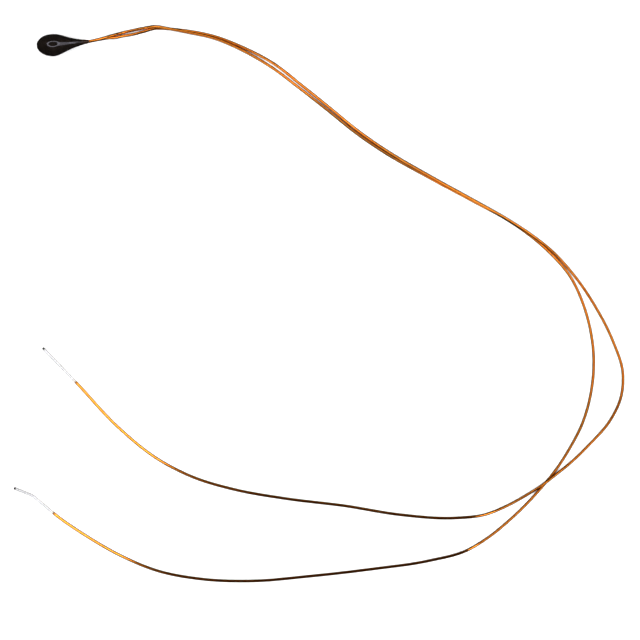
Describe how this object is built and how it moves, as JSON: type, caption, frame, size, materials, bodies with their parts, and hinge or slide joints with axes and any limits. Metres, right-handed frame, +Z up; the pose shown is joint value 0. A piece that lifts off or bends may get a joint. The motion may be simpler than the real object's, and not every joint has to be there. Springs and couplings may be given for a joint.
{
  "type": "bead thermistor",
  "caption": "Epoxy-dipped bead thermistor: a black teardrop bead on long, loosely twisted enamelled copper leads with tinned ends, for sensing temperature.",
  "frame": {"origin": "on the surface the part lies on, under the middle of the bead", "axes": "+X along the bead from its nose to its neck, +Z up from the surface"},
  "size_m": [0.0659, 0.0602, 0.0024],
  "materials": {
    "epoxy": "glossy dipped epoxy",
    "oxide": "sintered oxide, matt",
    "silver": "fired silver film",
    "solder": "soft solder",
    "copper": "drawn copper",
    "enamel": "clear amber wire enamel over copper",
    "tin": "bright dipped tin"
  },
  "bodies": {
    "root": {"bead_coating": "epoxy", "ntc_chip": "oxide", "chip_electrode_top": "silver", "chip_electrode_bottom": "silver", "solder_joint_top": "solder", "solder_joint_bottom": "solder", "lead_a_conductor": "copper", "lead_b_conductor": "copper", "lead_a_enamel": "enamel", "lead_b_enamel": "enamel", "lead_a_tinning": "tin", "lead_b_tinning": "tin"}
  },
  "joints": []
}
